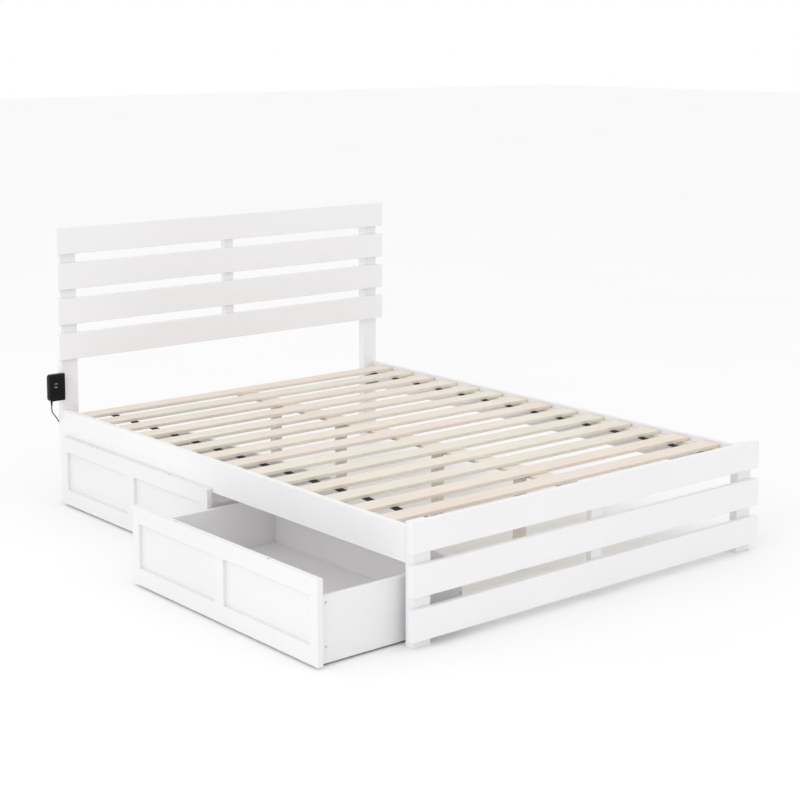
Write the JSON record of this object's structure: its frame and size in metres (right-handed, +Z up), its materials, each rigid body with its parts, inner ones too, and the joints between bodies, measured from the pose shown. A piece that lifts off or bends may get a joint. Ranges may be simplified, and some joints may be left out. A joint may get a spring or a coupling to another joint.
{
  "type": "platform bed frame with storage drawers",
  "caption": "White-painted wooden platform bed frame with slatted headboard and footboard, pale pine deck slats, rolling under-bed drawers and a charger on a head post.",
  "frame": {"origin": "on the floor under the centre leg that is nearer the foot of the two inner ones, on the bed's long centreline", "axes": "+X to the right seen from the foot, +Y towards the headboard, +Z up"},
  "size_m": [1.907, 2.1834, 1.08],
  "materials": {
    "frame_paint": "satin white paint",
    "drawer_paint": "satin white paint",
    "slat_wood": "planed, unfinished pine",
    "support_wood": "planed, unfinished pine",
    "webbing": "woven webbing",
    "wheel_plastic": "matte",
    "charger_plastic": "semi-gloss",
    "cord_jacket": "satin",
    "plug_plastic": "matte"
  },
  "bodies": {
    "frame": {"foot_board_1": "frame_paint", "foot_board_2": "frame_paint", "foot_board_3": "frame_paint", "foot_centre_stile": "frame_paint", "foot_leg_left": "frame_paint", "foot_leg_right": "frame_paint", "head_board_1": "frame_paint", "head_board_2": "frame_paint", "head_board_3": "frame_paint", "head_board_4": "frame_paint", "head_centre_stile": "frame_paint", "head_post_left": "frame_paint", "head_post_right": "frame_paint", "side_rail_left": "frame_paint", "side_rail_right": "frame_paint", "slat_ledger_left": "support_wood", "slat_ledger_right": "support_wood", "slat_01": "slat_wood", "slat_02": "slat_wood", "slat_03": "slat_wood", "slat_04": "slat_wood", "slat_05": "slat_wood", "slat_06": "slat_wood", "slat_07": "slat_wood", "slat_08": "slat_wood", "slat_09": "slat_wood", "slat_10": "slat_wood", "slat_11": "slat_wood", "slat_12": "slat_wood", "slat_13": "slat_wood", "slat_14": "slat_wood", "slat_strap_left": "webbing", "slat_strap_right": "webbing", "centre_beam": "support_wood", "centre_leg_1": "support_wood", "centre_leg_2": "support_wood", "centre_leg_3": "support_wood", "centre_leg_4": "support_wood", "charger_body": "charger_plastic", "charger_cord": "cord_jacket", "cord_coil": "cord_jacket", "charger_plug": "plug_plastic"},
    "foot_drawer": {"foot_drawer_front": "drawer_paint", "foot_drawer_foot_side": "drawer_paint", "foot_drawer_head_side": "drawer_paint", "foot_drawer_back": "drawer_paint", "foot_drawer_bottom": "drawer_paint"},
    "foot_drawer_wheel_front_foot": {"foot_drawer_wheel_front_foot": "wheel_plastic"},
    "foot_drawer_wheel_front_head": {"foot_drawer_wheel_front_head": "wheel_plastic"},
    "foot_drawer_wheel_back_foot": {"foot_drawer_wheel_back_foot": "wheel_plastic"},
    "foot_drawer_wheel_back_head": {"foot_drawer_wheel_back_head": "wheel_plastic"},
    "head_drawer": {"head_drawer_front": "drawer_paint", "head_drawer_foot_side": "drawer_paint", "head_drawer_head_side": "drawer_paint", "head_drawer_back": "drawer_paint", "head_drawer_bottom": "drawer_paint"},
    "head_drawer_wheel_front_foot": {"head_drawer_wheel_front_foot": "wheel_plastic"},
    "head_drawer_wheel_front_head": {"head_drawer_wheel_front_head": "wheel_plastic"},
    "head_drawer_wheel_back_foot": {"head_drawer_wheel_back_foot": "wheel_plastic"},
    "head_drawer_wheel_back_head": {"head_drawer_wheel_back_head": "wheel_plastic"}
  },
  "joints": [
    {"name": "foot_drawer_slide", "type": "slide", "parent": "frame", "child": "foot_drawer", "axis": [-1, 0, 0], "range_m": [-0.3, 0.2]},
    {"name": "foot_drawer_wheel_front_foot_spin", "type": "hinge", "parent": "foot_drawer", "child": "foot_drawer_wheel_front_foot", "pos_m": [-1.0237, -0.703, 0.017], "axis": [0, 1, 0], "continuous": true},
    {"name": "foot_drawer_wheel_front_head_spin", "type": "hinge", "parent": "foot_drawer", "child": "foot_drawer_wheel_front_head", "pos_m": [-1.0237, 0.23, 0.017], "axis": [0, 1, 0], "continuous": true},
    {"name": "foot_drawer_wheel_back_foot_spin", "type": "hinge", "parent": "foot_drawer", "child": "foot_drawer_wheel_back_foot", "pos_m": [-0.608, -0.703, 0.017], "axis": [0, 1, 0], "continuous": true},
    {"name": "foot_drawer_wheel_back_head_spin", "type": "hinge", "parent": "foot_drawer", "child": "foot_drawer_wheel_back_head", "pos_m": [-0.608, 0.23, 0.017], "axis": [0, 1, 0], "continuous": true},
    {"name": "head_drawer_slide", "type": "slide", "parent": "frame", "child": "head_drawer", "axis": [-1, 0, 0], "range_m": [0, 0.5]},
    {"name": "head_drawer_wheel_front_foot_spin", "type": "hinge", "parent": "head_drawer", "child": "head_drawer_wheel_front_foot", "pos_m": [-0.7237, 0.32, 0.017], "axis": [0, 1, 0], "continuous": true},
    {"name": "head_drawer_wheel_front_head_spin", "type": "hinge", "parent": "head_drawer", "child": "head_drawer_wheel_front_head", "pos_m": [-0.7237, 1.253, 0.017], "axis": [0, 1, 0], "continuous": true},
    {"name": "head_drawer_wheel_back_foot_spin", "type": "hinge", "parent": "head_drawer", "child": "head_drawer_wheel_back_foot", "pos_m": [-0.308, 0.32, 0.017], "axis": [0, 1, 0], "continuous": true},
    {"name": "head_drawer_wheel_back_head_spin", "type": "hinge", "parent": "head_drawer", "child": "head_drawer_wheel_back_head", "pos_m": [-0.308, 1.253, 0.017], "axis": [0, 1, 0], "continuous": true}
  ],
  "couplings": [
    {"joint": "foot_drawer_wheel_front_foot_spin", "follows": "foot_drawer_slide", "rad_per_m": -58.824},
    {"joint": "foot_drawer_wheel_front_head_spin", "follows": "foot_drawer_slide", "rad_per_m": -58.824},
    {"joint": "foot_drawer_wheel_back_foot_spin", "follows": "foot_drawer_slide", "rad_per_m": -58.824},
    {"joint": "foot_drawer_wheel_back_head_spin", "follows": "foot_drawer_slide", "rad_per_m": -58.824},
    {"joint": "head_drawer_wheel_front_foot_spin", "follows": "head_drawer_slide", "rad_per_m": -58.824},
    {"joint": "head_drawer_wheel_front_head_spin", "follows": "head_drawer_slide", "rad_per_m": -58.824},
    {"joint": "head_drawer_wheel_back_foot_spin", "follows": "head_drawer_slide", "rad_per_m": -58.824},
    {"joint": "head_drawer_wheel_back_head_spin", "follows": "head_drawer_slide", "rad_per_m": -58.824}
  ]
}
